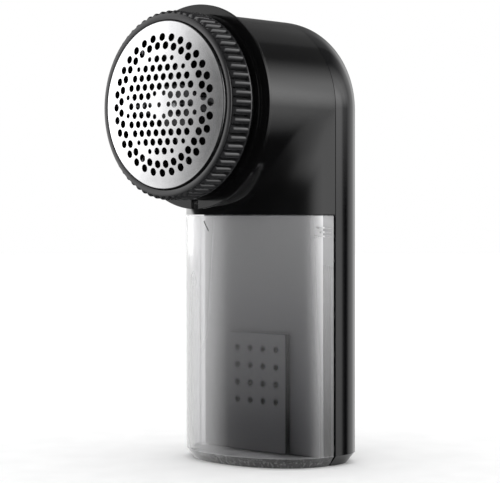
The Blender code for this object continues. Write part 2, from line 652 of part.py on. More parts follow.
def make_electronics(board, shell, dark, lamp, clear):
    """Circuit board with the slide switch and the lamp, and the charging socket on its own small board."""
    box("circuit_board", (-11.0, 26.0, 84.0), (11.0, 27.4, 117.5), board)
    middle = SWITCH_Z + SWITCH_TRAVEL / 2
    box("switch_body", (-4.5, 27.7, middle - 5.0), (4.5, 30.4, middle + 5.0), shell)
    box("indicator_led", (-1.0, 27.7, LAMP_Z - 1.0), (1.0, 29.4, LAMP_Z + 1.0), lamp, 0.2)
    lens = [(0, 29.8), (1.15, 29.8), (1.15, 33.6), (0.9, 33.8), (0, 33.8)]
    place(turned("indicator_lens", lens, clear, 16), z=LAMP_Z)
    box("charging_board", (-8.0, SOCKET_Y - 5.0, 7.3), (8.0, SOCKET_Y + 5.0, 8.5), board)
    outline = rounded_rectangle(4.5, 1.65, 1.2, (0.0, SOCKET_Y), 3)
    socket = finish("charging_socket", prism(bmesh.new(), outline, 0.4, 7.0, "Z"), shell)
    mouth = rounded_rectangle(4.1, 1.25, 0.9, (0.0, SOCKET_Y), 3)
    boolean(socket, tool("cut_socket_mouth", prism(bmesh.new(), mouth, -1.0, 5.6, "Z")))
    tongue = boxed(bmesh.new(), (-3.2, SOCKET_Y - 0.35, 1.4), (3.2, SOCKET_Y + 0.35, 6.0))
    boolean(socket, tool("join_socket_tongue", tongue), "UNION")
    knob = bmesh.new()
    prism(knob, rounded_rectangle(5.6, 7.0, 2.2), 32.9, 35.2)
    slider = place(finish("power_slider", knob, dark), z=SWITCH_Z)
    more = bmesh.new()
    for i in range(5):
        boxed(more, (-3.8, 35.0, 2.0 * (i - 2) - 0.5), (3.8, SLIDER_BACK_Y, 2.0 * (i - 2) + 0.5))
    boxed(more, (-1.5, 30.8, -3.0), (1.5, 33.1, 3.0))
    boolean(slider, tool("join_slider_grip", more), "UNION")


def make_cover_screws(made):
    """Four pan-head screws that hold the rear cover to the chassis."""
    profile = [(0, 14.0), (1.0, 14.0), (1.0, 27.4), (2.3, 27.4), (2.3, 28.6), (1.7, 29.0), (0, 29.0)]
    for number, (x, z) in enumerate(SCREW_PLACES, 1):
        screw = place(turned(f"cover_screw_{number}", profile, made, 12), x=x, z=z)
        cross = bmesh.new()
        boxed(cross, (-1.2, 28.3, -0.25), (1.2, 30.0, 0.25))
        boolean(screw, tool(f"cut_drive_{number}", cross))


def make_wire(name, route, made):
    """Thin insulated lead along a smooth line through the route's points."""
    curve = bpy.data.curves.new(name, "CURVE")
    curve.dimensions = "3D"
    curve.bevel_depth = 0.5 * MM
    curve.bevel_resolution = 1
    curve.use_fill_caps = True
    count = len(route) - 1
    points = []
    for i in range(count):
        before, start = Vector(route[max(i - 1, 0)]), Vector(route[i])
        end, after = Vector(route[i + 1]), Vector(route[min(i + 2, count)])
        for step in range(3):
            t = step / 3
            bend = 2 * start + (end - before) * t
            bend += (2 * before - 5 * start + 4 * end - after) * t * t
            bend += (3 * start - before - 3 * end + after) * t**3
            points.append(bend / 2)
    points.append(Vector(route[-1]))
    line = curve.splines.new("POLY")
    line.points.add(len(points) - 1)
    for spot, point in zip(line.points, points):
        spot.co = (*(point * MM), 1.0)
    curve.materials.append(made)
    wire = bpy.data.objects.new(name, curve)
    bpy.context.scene.collection.objects.link(wire)


def make_wires(red, black):
    """Leads from the board to the motor, to the cell and to the charging board."""
    for side, made, name in ((1, red, "right"), (-1, black, "left")):
        route = [
            (6.5 * side, 20.4, HEAD_Z), (7.6 * side, 22.0, 114.5), (8.2 * side, 23.4, 111.0),
            (8.2 * side, 25.6, 108.5),
        ]
        make_wire("motor_wire_" + name, route, made)
    plus = [(2.0, 22.0, 77.4), (3.6, 22.6, 80.5), (5.0, 23.4, 84.5), (6.0, 25.4, 88.0)]
    make_wire("battery_wire_plus", plus, red)
    minus = [
        (-7.0, 20.0, 9.2), (-10.4, 20.2, 12.0), (-11.2, 21.2, 40.0), (-11.2, 21.8, 78.0),
        (-10.4, 23.4, 84.5), (-9.4, 25.4, 88.0),
    ]
    make_wire("charging_wire", minus, black)


# ---------------------------------------------------------------- the shaver

def main():
    for obj in list(bpy.data.objects):
        bpy.data.objects.remove(obj, do_unlink=True)
    material("helper", (1.0, 0.0, 1.0), 0.5)
    gloss_black = material("gloss_black_plastic", (0.012, 0.012, 0.014), 0.12)
    rear_black = material("satin_black_plastic", (0.02, 0.02, 0.023), 0.28)
    ring_black = material("ring_plastic", (0.03, 0.03, 0.032), 0.4)
    smoke = material("smoked_clear_plastic", (0.35, 0.35, 0.36), 0.05, alpha=0.35)
    inner_plastic = material("inner_plastic", (0.06, 0.06, 0.065), 0.45)
    steel = material("brushed_steel", (0.72, 0.72, 0.73), 0.25, 1.0)
    motor_steel = material("plated_steel", (0.55, 0.56, 0.58), 0.35, 1.0)
    brass = material("brass", (0.78, 0.6, 0.28), 0.35, 1.0)
    copper = material("copper", (0.72, 0.38, 0.22), 0.4, 1.0)
    magnet = material("ferrite", (0.05, 0.05, 0.055), 0.7)
    wrap = material("cell_wrap", (0.05, 0.22, 0.45), 0.4)
    board = material("board_green", (0.02, 0.2, 0.09), 0.5)
    white = material("white_plastic", (0.75, 0.75, 0.73), 0.45)
    lens = material("lens_plastic", (0.75, 0.8, 0.85), 0.1, alpha=0.6)
    red = material("red_insulation", (0.5, 0.02, 0.02), 0.45)

    make_front_housing(gloss_black)
    make_rear_cover(rear_black)
    make_lint_container(smoke)
    make_foil(steel)
    make_foil_ring(ring_black)
    make_head_flange(gloss_black)
    make_cutter(steel, inner_plastic)
    make_cutter_spring(motor_steel)
    make_lint_fan(inner_plastic)
    make_lint_chute(inner_plastic)
    make_motor(motor_steel, white, brass, magnet, copper)
    make_chassis(inner_plastic)
    make_vent_panel(inner_plastic)
    make_battery(wrap, motor_steel)
    make_electronics(board, motor_steel, ring_black, white, lens)
    make_cover_screws(motor_steel)
    make_wires(red, ring_black)


main()
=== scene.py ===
"""Looks of the hand-held fabric shaver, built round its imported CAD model.

Lengths are in millimetres in the shaver's own frame: +Z up, -Y the way the cutting head faces,
+X its right. object_from() scales each piece to metres. Sizes and places come from the CAD nodes'
boxes wherever a box has them.
"""

import json
from math import acos, cos, degrees, hypot, pi, radians, sin, sqrt

import bmesh
import bpy
from mathutils import Matrix, Vector
from mathutils.geometry import delaunay_2d_cdt


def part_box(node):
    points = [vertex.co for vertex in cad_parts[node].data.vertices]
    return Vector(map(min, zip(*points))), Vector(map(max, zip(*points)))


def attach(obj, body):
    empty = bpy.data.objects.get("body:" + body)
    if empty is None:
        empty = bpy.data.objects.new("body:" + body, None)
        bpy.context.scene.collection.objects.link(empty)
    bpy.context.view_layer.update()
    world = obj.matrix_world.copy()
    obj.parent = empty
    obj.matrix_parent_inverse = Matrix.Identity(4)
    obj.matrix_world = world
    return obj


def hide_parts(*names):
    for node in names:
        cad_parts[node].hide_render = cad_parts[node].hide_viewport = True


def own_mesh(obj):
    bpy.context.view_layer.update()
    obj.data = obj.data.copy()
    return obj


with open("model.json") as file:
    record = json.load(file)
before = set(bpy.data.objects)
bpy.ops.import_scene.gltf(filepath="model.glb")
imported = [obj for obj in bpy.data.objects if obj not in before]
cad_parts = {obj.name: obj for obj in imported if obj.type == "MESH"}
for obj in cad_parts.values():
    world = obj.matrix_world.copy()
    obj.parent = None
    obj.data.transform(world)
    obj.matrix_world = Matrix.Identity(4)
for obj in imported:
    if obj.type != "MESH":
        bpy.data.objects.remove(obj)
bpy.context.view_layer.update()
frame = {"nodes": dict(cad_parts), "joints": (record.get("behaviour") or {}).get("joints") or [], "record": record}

MM = 0.001


def box_mm(node):
    low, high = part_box(node)
    return low / MM, high / MM


# ---------------------------------------------------------------- sizes

RING_LOW, RING_HIGH = box_mm("foil_ring")
FOIL_LOW, FOIL_HIGH = box_mm("foil")
FLANGE_LOW, FLANGE_HIGH = box_mm("head_flange")
SHELL_LOW, SHELL_HIGH = box_mm("front_housing")
COVER_LOW, COVER_HIGH = box_mm("rear_cover")
BUCKET_LOW, BUCKET_HIGH = box_mm("lint_container")
PANEL_LOW, PANEL_HIGH = box_mm("vent_panel")
SLIDER_LOW, SLIDER_HIGH = box_mm("power_slider")
LENS_LOW, LENS_HIGH = box_mm("indicator_lens")
SOCKET_LOW, SOCKET_HIGH = box_mm("charging_socket")

HEAD_Z = (RING_LOW.z + RING_HIGH.z) / 2       # height of the head axis
BODY_R = COVER_HIGH.x                         # radius of the barrel and half of the handle's width
FRONT_Y = BUCKET_LOW.y                        # front of the handle, below the head
BACK_Y = COVER_HIGH.y
WIDEST_Y = 15.8                               # depth at which the handle is widest
SEAM_Y = SHELL_HIGH.y                         # joint between the front shell and the rear cover
SEAM_Z = SHELL_LOW.z                          # joint between the front shell and the container
FRONT_POWER = 2.28                            # roundness of the front of the handle's oval
BACK_POWER = 2.67
NECK_FILLET = 12.0                            # softness of the corner between the barrel and the handle
BASE_CHAMFER = 2.6
RIM_Z = 3.4                                   # height of the chamfer round the base
WALL = 2.0
CLEAR_WALL = 1.8
CLEAR_FLOOR = 2.2                             # thickness of the container's floor
RAIL_Y = 8.0                                  # front of the recessed rails at the container's rear edges
RAIL_STEP = 0.35                              # how far the rails are set in
RING_R = RING_HIGH.x
RIB_COUNT = 64
FOIL_R = 26.6
FOIL_WALL_END = -28.2                         # depth of the foil's turned-out rim
FOIL_SHEET = 0.24
FOIL_DOME = 2.15                              # how far the middle of the foil stands proud of its edge
HOLE_RINGS = ((21.4, 0.0), (18.75, 0.5))      # (radius, turn as a share of a step) of the outer rings
HOLES_PER_RING = 32
RING_HOLE_R = 1.3
HOLE_PITCH = 3.36                             # lattice of holes inside the rings
HOLE_R = 1.18
SMALL_HOLE_R = 0.84
OUTSIDE = 40.0                                # past the back of everything, for the ends of cutters
SHARP = 32.0                                  # angle in degrees from which an edge counts as sharp


# ---------------------------------------------------------------- node materials

def new_material(name, colour, roughness, metallic=0.0):
    made = bpy.data.materials.new(name)
    made.use_nodes = True
    shader = made.node_tree.nodes["Principled BSDF"]
    shader.inputs["Base Color"].default_value = (*colour, 1.0)
    shader.inputs["Roughness"].default_value = roughness
    shader.inputs["Metallic"].default_value = metallic
    return made, shader


def add_node(made, kind, **settings):
    """Adds a node to the material or world. A setting names an input or else a property."""
    node = made.node_tree.nodes.new(kind)
    for key, value in settings.items():
        if key in node.inputs:
            node.inputs[key].default_value = value
        else:
            setattr(node, key.lower(), value)
    return node


def link(made, source, target):
    made.node_tree.links.new(source, target)


def noise(made, scale, detail=2.0, stretch=(1.0, 1.0, 1.0), distortion=0.0):
    """Noise fixed to the piece: scale is in features per metre, and stretch squeezes it along each axis."""
    place = add_node(made, "ShaderNodeTexCoord")
    mapping = add_node(made, "ShaderNodeMapping", Scale=stretch)
    texture = add_node(made, "ShaderNodeTexNoise", Scale=scale, Detail=detail, Distortion=distortion)
    link(made, place.outputs["Object"], mapping.inputs["Vector"])
    link(made, mapping.outputs["Vector"], texture.inputs["Vector"])
    return texture.outputs["Fac"]


def spread(made, value, low, high, start=0.3, end=0.7):
    """Maps the middle of the value's range to low ... high."""
    node = add_node(made, "ShaderNodeMapRange")
    for socket, number in zip(("From Min", "From Max", "To Min", "To Max"), (start, end, low, high)):
        node.inputs[socket].default_value = number
    link(made, value, node.inputs["Value"])
    return node.outputs["Result"]


def tint(made, shader, value, dark, light):
    """Runs the base colour from dark to light with the value."""
    mix = add_node(made, "ShaderNodeMix", Data_Type="RGBA")
    colours = [socket for socket in mix.inputs if socket.type == "RGBA"]
    colours[0].default_value = (*dark, 1.0)
    colours[1].default_value = (*light, 1.0)
    link(made, value, mix.inputs["Factor"])
    result = [socket for socket in mix.outputs if socket.type == "RGBA"][0]
    link(made, result, shader.inputs["Base Color"])


def bump(made, shader, height, depth):
    """Raises the surface by up to depth metres where the height is 1."""
    node = add_node(made, "ShaderNodeBump", Strength=1.0, Distance=depth)
    link(made, height, node.inputs["Height"])
    link(made, node.outputs["Normal"], shader.inputs["Normal"])


def arithmetic(made, operation, *values):
    """Result of the operation on the values, each a number or another node's output."""
    node = add_node(made, "ShaderNodeMath", Operation=operation)
    for socket, value in zip(node.inputs, values):
        if isinstance(value, (int, float)):
            socket.default_value = value
        else:
            link(made, value, socket)
    return node.outputs["Value"]


def axes(made, source):
    """X, Y and Z of the spot ("Object"), of its surface's direction ("Normal") or, in a world, of the ray
    ("Generated")."""
    place = add_node(made, "ShaderNodeTexCoord")
    split = add_node(made, "ShaderNodeSeparateXYZ")
    link(made, place.outputs[source], split.inputs["Vector"])
    return [split.outputs[axis] for axis in "XYZ"]


def moulded(name, colour, roughness, vary=0.04, grain=900.0, depth=4e-6):
    """Moulded plastic: slightly uneven tone and gloss, and a fine surface texture."""
    made, shader = new_material(name, colour, roughness)
    broad = noise(made, 90.0, 3.0)
    lighter = [min(c * 1.18 + 0.0008, 1.0) for c in colour]
    darker = [c * 0.86 for c in colour]
    tint(made, shader, spread(made, broad, 0.0, 1.0), darker, lighter)
    fine = noise(made, grain, 3.0)
    link(made, spread(made, fine, roughness - vary, roughness + vary), shader.inputs["Roughness"])
    bump(made, shader, fine, depth)
    return made


def metal(name, colour, roughness, vary=0.08, grain=1500.0, depth=3e-6, stretch=(1.0, 1.0, 1.0)):
    """Bare or plated metal with fine machining marks, drawn out along the axes where stretch is small."""
    made, shader = new_material(name, colour, roughness, 1.0)
    marks = noise(made, grain, 4.0, stretch)
    tint(made, shader, spread(made, marks, 0.0, 1.0), [c * 0.9 for c in colour], colour)
    link(made, spread(made, marks, roughness - vary, roughness + vary), shader.inputs["Roughness"])
    bump(made, shader, marks, depth)
    return made


def polished_black(name, colour, roughness):
    """Polished black plastic with faint hairline scratches in its gloss."""
    made, shader = new_material(name, colour, roughness)
    hairs = noise(made, 260.0, 5.0, (1.0, 1.0, 9.0), 0.4)
    broad = noise(made, 55.0, 2.0)
    tint(made, shader, spread(made, broad, 0.0, 1.0), [c * 0.85 for c in colour], [c * 1.2 for c in colour])
    link(made, spread(made, hairs, roughness - 0.02, roughness + 0.03), shader.inputs["Roughness"])
    bump(made, shader, hairs, 6e-7)
    return made


def foil_steel():
    """Stainless sheet with a fine blasted grain."""
    made, shader = new_material("foil_steel", (0.86, 0.86, 0.87), 0.2, 1.0)
    grit = noise(made, 5200.0, 2.0)
    cloud = noise(made, 210.0, 3.0)
    tint(made, shader, spread(made, cloud, 0.0, 1.0), (0.82, 0.82, 0.83), (0.92, 0.92, 0.93))
    link(made, spread(made, grit, 0.16, 0.25), shader.inputs["Roughness"])
    bump(made, shader, grit, 5e-6)
    return made


def clear_plastic():
    """Smoke-tinted clear plastic with painted light and shade: it turns paler and less clear near its top, its
    right rear edge, left of its middle and its rim for painted highlights and reflections, and its colour is
    painted darker towards the foot as shade.

    Depths, heights and places across are in metres here.
    """
    made, shader = new_material("smoked_clear", (0.8, 0.8, 0.81), 0.04)
    for socket, value in (("IOR", 1.5), ("Sheen Weight", 0.9), ("Sheen Roughness", 0.4)):
        shader.inputs[socket].default_value = value

    def times(*values):
        return arithmetic(made, "MULTIPLY", *values)

    side, depth, height = axes(made, "Object")
    downward = axes(made, "Normal")[2]
    on_chamfer = arithmetic(made, "COMPARE", downward, -0.7, 0.25)
    on_rim = arithmetic(made, "COMPARE", downward, -0.25, 0.18)

    # Painted refraction on the downward-facing chamfer: its colour is darkened, with lighter vertical streaks
    # standing for light refracted through the thick foot.
    refraction_streaks = noise(made, 1100.0, 2.0, (1.0, 1.0, 0.04))
    chamfer_shade = times(on_chamfer, spread(made, refraction_streaks, 0.96, 0.3, 0.52, 0.72))
    # Painted shade: the colour runs darker towards the foot, as if the light came from above.
    shade_towards_foot = spread(made, height, 0.76, 1.0, 0.0, BUCKET_HIGH.z * MM)
    clear = times(shade_towards_foot, arithmetic(made, "SUBTRACT", 1.0, chamfer_shade))
    tint(made, shader, clear, (0.0, 0.0, 0.0), (0.94, 0.94, 0.95))

    # Painted light: the plastic turns paler and less clear towards its top, as if lit from above.
    painted_top_light = spread(made, height, 0.0, 0.12, 0.012, 0.08)
    # Painted reflection: the right rear edge turns paler and less clear, less so on the set-back rails, where that
    # is painted shade, and less near the foot.
    towards_edge = arithmetic(made, "POWER", spread(made, depth, 0.0, 1.0, 0.0, 0.0078), 3.0)
    right_half = spread(made, side, 0.0, 0.66, 0.0, 0.001)
    off_rail = spread(made, depth, 1.0, 0.28, 0.0079, 0.0082)
    above_foot = spread(made, height, 0.3, 1.0, 0.01, 0.075)
    painted_edge_reflection = times(times(towards_edge, right_half), times(off_rail, above_foot))
    # Painted reflection: a pale, less clear band left of the middle.
    left_of_middle = spread(made, side, 0.0, 0.2, 0.003, -0.006)
    painted_left_reflection = times(left_of_middle, spread(made, side, 0.0, 1.0, -0.019, -0.009))
    painted_light = arithmetic(made, "ADD", arithmetic(made, "ADD", painted_top_light, painted_edge_reflection), painted_left_reflection)
    # Painted highlight: the rim, which faces slightly down, turns paler and less clear.
    painted_light = arithmetic(made, "MULTIPLY_ADD", on_rim, 0.7, painted_light)
    link(made, arithmetic(made, "SUBTRACT", 1.0, painted_light), shader.inputs["Transmission Weight"])

    scuffs = noise(made, 320.0, 5.0, (1.0, 1.0, 0.2), 0.6)
    link(made, spread(made, scuffs, 0.02, 0.07), shader.inputs["Roughness"])
    return made


def ring_plastic():
    """Black moulded plastic with a little more gloss than the rest."""
    made = moulded("ring_black", (0.017, 0.017, 0.018), 0.15, 0.03, 1600.0, 3e-6)
    made.node_tree.nodes["Principled BSDF"].inputs["Specular IOR Level"].default_value = 0.68
    return made


def grille_plastic():
    """Grey moulded plastic that is black on its side walls, as they lie in shadow."""
    grey = (0.15, 0.15, 0.155)
    made = moulded("handle_grey", grey, 0.34, 0.05, 1100.0, 3e-6)
    faces_front = arithmetic(made, "LESS_THAN", axes(made, "Normal")[1], -0.97)
    tint(made, made.node_tree.nodes["Principled BSDF"], faces_front, (0.002, 0.002, 0.002), grey)
    return made


def lamp_lens():
    made, shader = new_material("lens_clear", (0.86, 0.89, 0.93), 0.12)
    shader.inputs["Transmission Weight"].default_value = 0.85
    cloud = noise(made, 700.0, 2.0)
    link(made, spread(made, cloud, 0.08, 0.18), shader.inputs["Roughness"])
    return made


MATERIALS = {
    "gloss_black": polished_black("gloss_black", (0.003, 0.003, 0.0032), 0.12),
    "satin_black": polished_black("satin_black", (0.0035, 0.0035, 0.004), 0.08),
    "ring_black": ring_plastic(),
    "smoked_clear": clear_plastic(),
    "foil_steel": foil_steel(),
    "blade_steel": metal("blade_steel", (0.16, 0.16, 0.165), 0.4, 0.08, 1800.0, 3e-6, (1.0, 0.1, 1.0)),
    "plated_steel": metal("plated_steel", (0.62, 0.63, 0.65), 0.26),
    "inner_plastic": moulded("inner_plastic", (0.03, 0.03, 0.032), 0.42),
    "handle_grey": grille_plastic(),
    "white_plastic": moulded("white_plastic", (0.74, 0.74, 0.72), 0.45),
    "brass": metal("brass", (0.78, 0.6, 0.28), 0.3),
    "copper": metal("copper", (0.72, 0.38, 0.22), 0.34, 0.08, 2600.0, 2e-5, (1.0, 0.05, 1.0)),
    "ferrite": moulded("ferrite", (0.05, 0.05, 0.055), 0.7, 0.08, 2200.0, 1.5e-5),
    "cell_wrap": moulded("cell_wrap", (0.05, 0.2, 0.42), 0.3, 0.06, 150.0, 1e-5),
    "board_green": moulded("board_green", (0.02, 0.16, 0.07), 0.4, 0.06, 1300.0, 1e-5),
    "lens_clear": lamp_lens(),
    "red_insulation": moulded("red_insulation", (0.45, 0.02, 0.02), 0.4),
    "black_insulation": moulded("black_insulation", (0.03, 0.03, 0.03), 0.4),
}


# ---------------------------------------------------------------- mesh helpers

def object_from(name, mesh):
    """Puts the bmesh, in millimetres, into a new object, in metres."""
    bmesh.ops.scale(mesh, vec=(MM, MM, MM), verts=mesh.verts)
    data = bpy.data.meshes.new(name)
    mesh.to_mesh(data)
    mesh.free()
    made = bpy.data.objects.new(name, data)
    bpy.context.scene.collection.objects.link(made)
    return made


def sealed(mesh):
    """Joins the bmesh's doubled corners and turns its faces outward."""
    bmesh.ops.remove_doubles(mesh, verts=mesh.verts, dist=1e-4)
    bmesh.ops.recalc_face_normals(mesh, faces=mesh.faces)
    return mesh


def new_piece(name, mesh, slot, body, nodes, bevel=0.0, sharp=SHARP):
    """Turns the bmesh into a piece that stands for those CAD nodes and rides on that body."""
    piece = object_from(name, sealed(mesh))
    piece.data.materials.append(MATERIALS[slot])
    smooth(piece, sharp)
    if bevel:
        round_edges(piece, bevel, 3, sharp)
    if nodes:
        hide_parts(*nodes)
    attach(piece, body)
    return piece


def smooth(piece, sharp):
    piece.data.shade_smooth()
    piece.data.set_sharp_from_angle(angle=radians(sharp))


def round_edges(piece, width, segments, sharp):
    step = piece.modifiers.new("rounded_edges", "BEVEL")
    step.width = width * MM
    step.segments = segments
    step.limit_method = "ANGLE"
    step.angle_limit = radians(sharp)
    step.harden_normals = True
    step.use_clamp_overlap = True


def add_thickness(piece, thickness):
    """Thickens an open sheet inward."""
    face = piece.data.polygons[0]
    outward = face.normal.dot(face.center - Vector((0.0, WIDEST_Y, HEAD_Z)) * MM) > 0
    step = piece.modifiers.new("wall", "SOLIDIFY")
    step.thickness = thickness * MM
    step.offset = -1.0 if outward else 1.0
    step.use_even_offset = True


def settle(piece):
    """Applies the piece's modifiers and marks its sharp edges anew."""
    graph = bpy.context.evaluated_depsgraph_get()
    graph.update()
    result = bpy.data.meshes.new_from_object(piece.evaluated_get(graph))
    piece.modifiers.clear()
    piece.data = result
    smooth(piece, SHARP)


def combine(piece, cutter_mesh, operation="DIFFERENCE"):
    """Cuts the bmesh, in millimetres, from the piece or joins it on, and keeps the result as its mesh."""
    cutter = object_from("cutter", sealed(cutter_mesh))
    kept = [(m.width, m.segments, m.angle_limit) for m in piece.modifiers if m.type == "BEVEL"]
    piece.modifiers.clear()
    step = piece.modifiers.new("cut", "BOOLEAN")
    step.operation = operation
    step.solver = "EXACT"
    step.object = cutter
    settle(piece)
    bpy.data.objects.remove(cutter)
    for width, segments, angle in kept:
        round_edges(piece, width / MM, segments, degrees(angle))


def spun(mesh, profile, steps, centre):
    """Adds the closed profile of (radius, depth) points, turned round the line along Y at the centre."""
    rows = []
    for step in range(steps):
        turn = 2 * pi * step / steps
        points = [Vector((radius * cos(turn), along, radius * sin(turn))) for radius, along in profile]
        rows.append([mesh.verts.new(point + Vector(centre)) for point in points])
    for i, row in enumerate(rows):
        following = rows[(i + 1) % steps]
        for j in range(len(profile)):
            k = (j + 1) % len(profile)
            on_axis = profile[j][0] == 0 and profile[k][0] == 0
            if not on_axis:
                mesh.faces.new((row[j], row[k], following[k], following[j]))
    return mesh


def bands(mesh, rows):
    """Joins each closed row of vertices to the next with faces."""
    for near, far in zip(rows, rows[1:]):
        for i in range(len(near)):
            j = (i + 1) % len(near)
            mesh.faces.new((near[i], near[j], far[j], far[i]))


def boxed(mesh, low, high):
    """Adds the box from one corner to the other."""
    size = Vector(high) - Vector(low)
    middle = (Vector(high) + Vector(low)) / 2
    matrix = Matrix.Translation(middle) @ Matrix.Diagonal((*size, 1.0))
    bmesh.ops.create_cube(mesh, size=1.0, matrix=matrix)
    return mesh


def prism(mesh, outline, low, high, axis="Y"):
    """Adds the outline, extruded from low to high along the Y or Z axis."""

    def at(a, b, along):
        return (a, along, b) if axis == "Y" else (a, b, along)

    near = [mesh.verts.new(at(a, b, low)) for a, b in outline]
    far = [mesh.verts.new(at(a, b, high)) for a, b in outline]
    mesh.faces.new(near)
    mesh.faces.new(far[::-1])
    for i in range(len(outline)):
        j = (i + 1) % len(outline)
        mesh.faces.new((near[i], far[i], far[j], near[j]))
    return mesh


def circle(radius, steps, centre=(0.0, 0.0)):
    turns = [2 * pi * i / steps for i in range(steps)]
    return [(centre[0] + radius * cos(t), centre[1] + radius * sin(t)) for t in turns]


def rounded_rectangle(half_a, half_b, radius, centre=(0.0, 0.0), steps=8):
    points = []
    for quarter, (sign_a, sign_b) in enumerate(((1, 1), (-1, 1), (-1, -1), (1, -1))):
        for step in range(steps + 1):
            turn = pi / 2 * (quarter + step / steps)
            a = sign_a * (half_a - radius) + radius * cos(turn)
            b = sign_b * (half_b - radius) + radius * sin(turn)
            points.append((centre[0] + a, centre[1] + b))
    return points


# ---------------------------------------------------------------- the handle's form

def oval_half(front, inset=0.0):
    """(reach in depth, roundness) of the front or the back half of the handle's oval, moved in by inset."""
    reach = WIDEST_Y - FRONT_Y if front else BACK_Y - WIDEST_Y
    return reach - inset, FRONT_POWER if front else BACK_POWER


def half_width(y, inset=0.0):
    """Half of the handle's width at the depth y."""
    reach, power = oval_half(y < WIDEST_Y, inset)
    part = min(abs(y - WIDEST_Y) / reach, 1.0)
    return (BODY_R - inset) * (1 - part**power) ** (1 / power)


def oval_point(turn, inset=0.0):
    """(half width, depth) on the oval: turn is -90 degrees at its front and 90 degrees at its back."""
    reach, power = oval_half(turn < 0, inset)
    across = (BODY_R - inset) * abs(cos(turn)) ** (2 / power)
    along = reach * abs(sin(turn)) ** (2 / power)
    return across, WIDEST_Y + (along if turn > 0 else -along)


def oval_turn(y, inset=0.0):
    """The turn at which the front of the oval reaches the depth y."""
    reach, power = oval_half(True, inset)
    return -acos((1 - ((WIDEST_Y - y) / reach) ** power) ** 0.5)


def body_gap(x, y, z):
    """Signed gap to the barrel and the handle's oval column together, with a fillet where they cross."""
    radius = hypot(x, z - HEAD_Z)
    barrel = radius - BODY_R
    reach, power = oval_half(y < WIDEST_Y)
    arched = hypot(x, max(z - HEAD_Z, 0.0))
    across, along = arched / BODY_R, abs(y - WIDEST_Y) / reach
    size = (across**power + along**power) ** (1 / power)
    column = hypot(arched, y - WIDEST_Y) * (1 - 1 / max(size, 1e-6))
    slope = Vector((across ** (power - 1) / BODY_R, along ** (power - 1) / reach)).normalized()
    facing = slope.x * arched / max(radius, 1e-6)
    fillet = NECK_FILLET * (1 - facing * facing) + 1e-6
    near = max(fillet - abs(barrel - column), 0.0) / fillet
    return min(barrel, column) - near * near * fillet / 4


def elbow_point(bend, turn):
    """Point of the front shell on the half-plane that leans back by bend from the elbow's pivot line."""
    pivot = Vector((0.0, SHELL_LOW.y, SEAM_Z))
    lean = Vector((0.0, sin(bend), cos(bend)))
    middle_out = (HEAD_Z - SEAM_Z) + bend / (pi / 2) * (WIDEST_Y - SHELL_LOW.y - HEAD_Z + SEAM_Z)
    middle = pivot + lean * middle_out
    way = Vector((1.0, 0.0, 0.0)) * cos(turn) + lean * sin(turn)
    past_seam, halvings = 7.0, 44
    inside, outside = 0.0, 120.0
    for _ in range(halvings):
        reach = (inside + outside) / 2
        spot = middle + way * reach
        if max(body_gap(*spot), spot.y - SEAM_Y - past_seam) > 0:
            outside = reach
        else:
            inside = reach
    return middle + way * inside


# ---------------------------------------------------------------- outer pieces

def make_front_housing(bend_steps=72, turn_steps=168):
    """Elbow from the round barrel to the handle's oval, cut off flat at the rear seam."""
    mesh = bmesh.new()
    rows = []
    for i in range(bend_steps + 1):
        bend = pi / 2 * i / bend_steps
        rows.append([mesh.verts.new(elbow_point(bend, 2 * pi * j / turn_steps)) for j in range(turn_steps)])
    bands(mesh, rows)
    everything = mesh.verts[:] + mesh.edges[:] + mesh.faces[:]
    seam = {"plane_co": (0, SEAM_Y, 0), "plane_no": (0, 1, 0)}
    bmesh.ops.bisect_plane(mesh, geom=everything, clear_outer=True, **seam)
    shell = new_piece("front_shell", mesh, "gloss_black", "handle", ["front_housing"])
    add_thickness(shell, WALL)
    round_edges(shell, 0.22, 3, 40.0)


def rear_profile(inset, steps=30):
    """(half width, depth) points of the rear cover's plan, from the seam to the middle of its back."""
    points = [(half_width(COVER_LOW.y, inset), COVER_LOW.y)]
    points += [oval_point(pi / 2 * i / steps + 1e-6, inset) for i in range(steps)]
    points.append((0.0, BACK_Y - inset))
    return points


def arch_path(profile, floor, foot_profile, arch_steps=72):
    """For each profile point, its way up the right side, over the arch and down the left side."""
    columns = []
    for (across, y), (foot_across, foot_y) in zip(profile, foot_profile):
        right = [(foot_across, foot_y, floor), (across, y, max(RIM_Z, floor))]
        arch = []
        for i in range(arch_steps + 1):
            turn = pi * i / arch_steps
            arch.append((across * cos(turn), y, HEAD_Z + across * sin(turn)))
        left = [(-across, y, max(RIM_Z, floor)), (-foot_across, foot_y, floor)]
        columns.append(right + arch + left)
    return columns


def screw_places():
    """(x, z) of the four cover screws."""
    places = []
    for number in range(1, 5):
        low, high = box_mm(f"cover_screw_{number}")
        places.append(((low.x + high.x) / 2, (low.z + high.z) / 2))
    return places


def travel_mm(joint):
    return next(j for j in frame["joints"] if j["name"] == joint)["range_m"][1] / MM


